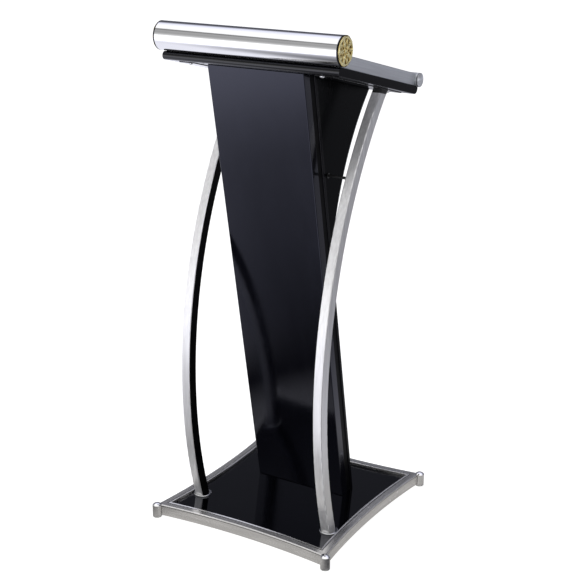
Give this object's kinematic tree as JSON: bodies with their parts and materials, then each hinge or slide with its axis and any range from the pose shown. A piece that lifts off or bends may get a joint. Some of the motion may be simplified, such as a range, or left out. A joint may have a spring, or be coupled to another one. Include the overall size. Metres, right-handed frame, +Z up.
{
  "type": "presentation lectern",
  "caption": "Free-standing speaker's lectern with a sloping desk, a large chrome front tube, a leaning column, bowed side legs and a concave-sided base with levelling feet.",
  "frame": {"origin": "on the floor, under the middle of the base", "axes": "+Z up, -Y towards the audience, +Y towards the speaker, +X to the audience's right"},
  "size_m": [0.4864, 0.5044, 1.17],
  "materials": {
    "black_lacquer": "gloss black lacquer on board",
    "black_steel": "black painted steel plate",
    "satin_aluminium": "satin silver extrusion",
    "chrome": "polished",
    "zinc_steel": "zinc plated",
    "satin_steel": "satin polished",
    "black_plastic_gloss": "gloss black",
    "black_plastic": "black",
    "black_rod": "black",
    "grey_strip": "dark satin",
    "trim_metal": "dark satin edge trim",
    "raw_wood": "raw",
    "plate_steel": "polished",
    "reading_surface": "satin black",
    "grey_aluminium": "satin grey",
    "gilt": "gilt relief",
    "foot_metal": "satin"
  },
  "bodies": {
    "lectern": {"base_board": "black_lacquer", "ballast_plate": "black_steel", "rail_front": "satin_aluminium", "rail_rear": "satin_aluminium", "rail_left": "satin_aluminium", "rail_right": "satin_aluminium", "post_caps": "chrome", "base_screws": "zinc_steel", "leg_left": "satin_steel", "leg_right": "satin_steel", "leg_inlay_left": "black_plastic_gloss", "leg_inlay_right": "black_plastic_gloss", "leg_ring_left": "chrome", "leg_ring_right": "chrome", "leg_foot_plugs": "black_plastic", "leg_foot_bolts": "zinc_steel", "leg_top_pad_left": "black_plastic", "leg_top_pad_right": "black_plastic", "standoff_left": "black_rod", "standoff_right": "black_rod", "front_board": "black_lacquer", "back_board": "black_lacquer", "side_strip_left": "grey_strip", "side_strip_right": "grey_strip", "cheek_left": "black_lacquer", "cheek_right": "black_lacquer", "cheek_trim_left": "trim_metal", "cheek_trim_right": "trim_metal", "shelf": "black_lacquer", "shelf_battens": "raw_wood", "column_foot_block": "raw_wood", "column_top_block": "raw_wood", "column_foot_screws": "zinc_steel", "column_top_screws": "zinc_steel", "desk_slab": "black_lacquer", "desk_plate_left": "plate_steel", "desk_plate_right": "plate_steel", "desk_bolts": "chrome", "tray_base": "raw_wood", "reading_panel": "reading_surface", "side_rail_left": "grey_aluminium", "side_rail_right": "grey_aluminium", "top_tube": "chrome", "tube_cradle": "black_plastic", "tube_screws": "zinc_steel", "tube_ring_left": "black_plastic_gloss", "tube_ring_right": "black_plastic_gloss", "medallion_left": "gilt", "medallion_right": "gilt", "book_stop": "satin_aluminium", "stop_cap_left": "chrome", "stop_cap_right": "chrome", "corner_post_front_left": "satin_aluminium", "corner_post_front_right": "satin_aluminium", "corner_post_rear_left": "satin_aluminium", "corner_post_rear_right": "satin_aluminium"},
    "foot_front_left": {"levelling_foot_front_left": "foot_metal"},
    "foot_front_right": {"levelling_foot_front_right": "foot_metal"},
    "foot_rear_left": {"levelling_foot_rear_left": "foot_metal"},
    "foot_rear_right": {"levelling_foot_rear_right": "foot_metal"}
  },
  "joints": [
    {"name": "foot_front_left_screw", "type": "slide", "parent": "lectern", "child": "foot_front_left", "axis": [0, 0, -1], "range_m": [0, 0.008]},
    {"name": "foot_front_right_screw", "type": "slide", "parent": "lectern", "child": "foot_front_right", "axis": [0, 0, -1], "range_m": [0, 0.008]},
    {"name": "foot_rear_left_screw", "type": "slide", "parent": "lectern", "child": "foot_rear_left", "axis": [0, 0, -1], "range_m": [0, 0.008]},
    {"name": "foot_rear_right_screw", "type": "slide", "parent": "lectern", "child": "foot_rear_right", "axis": [0, 0, -1], "range_m": [0, 0.008]}
  ]
}
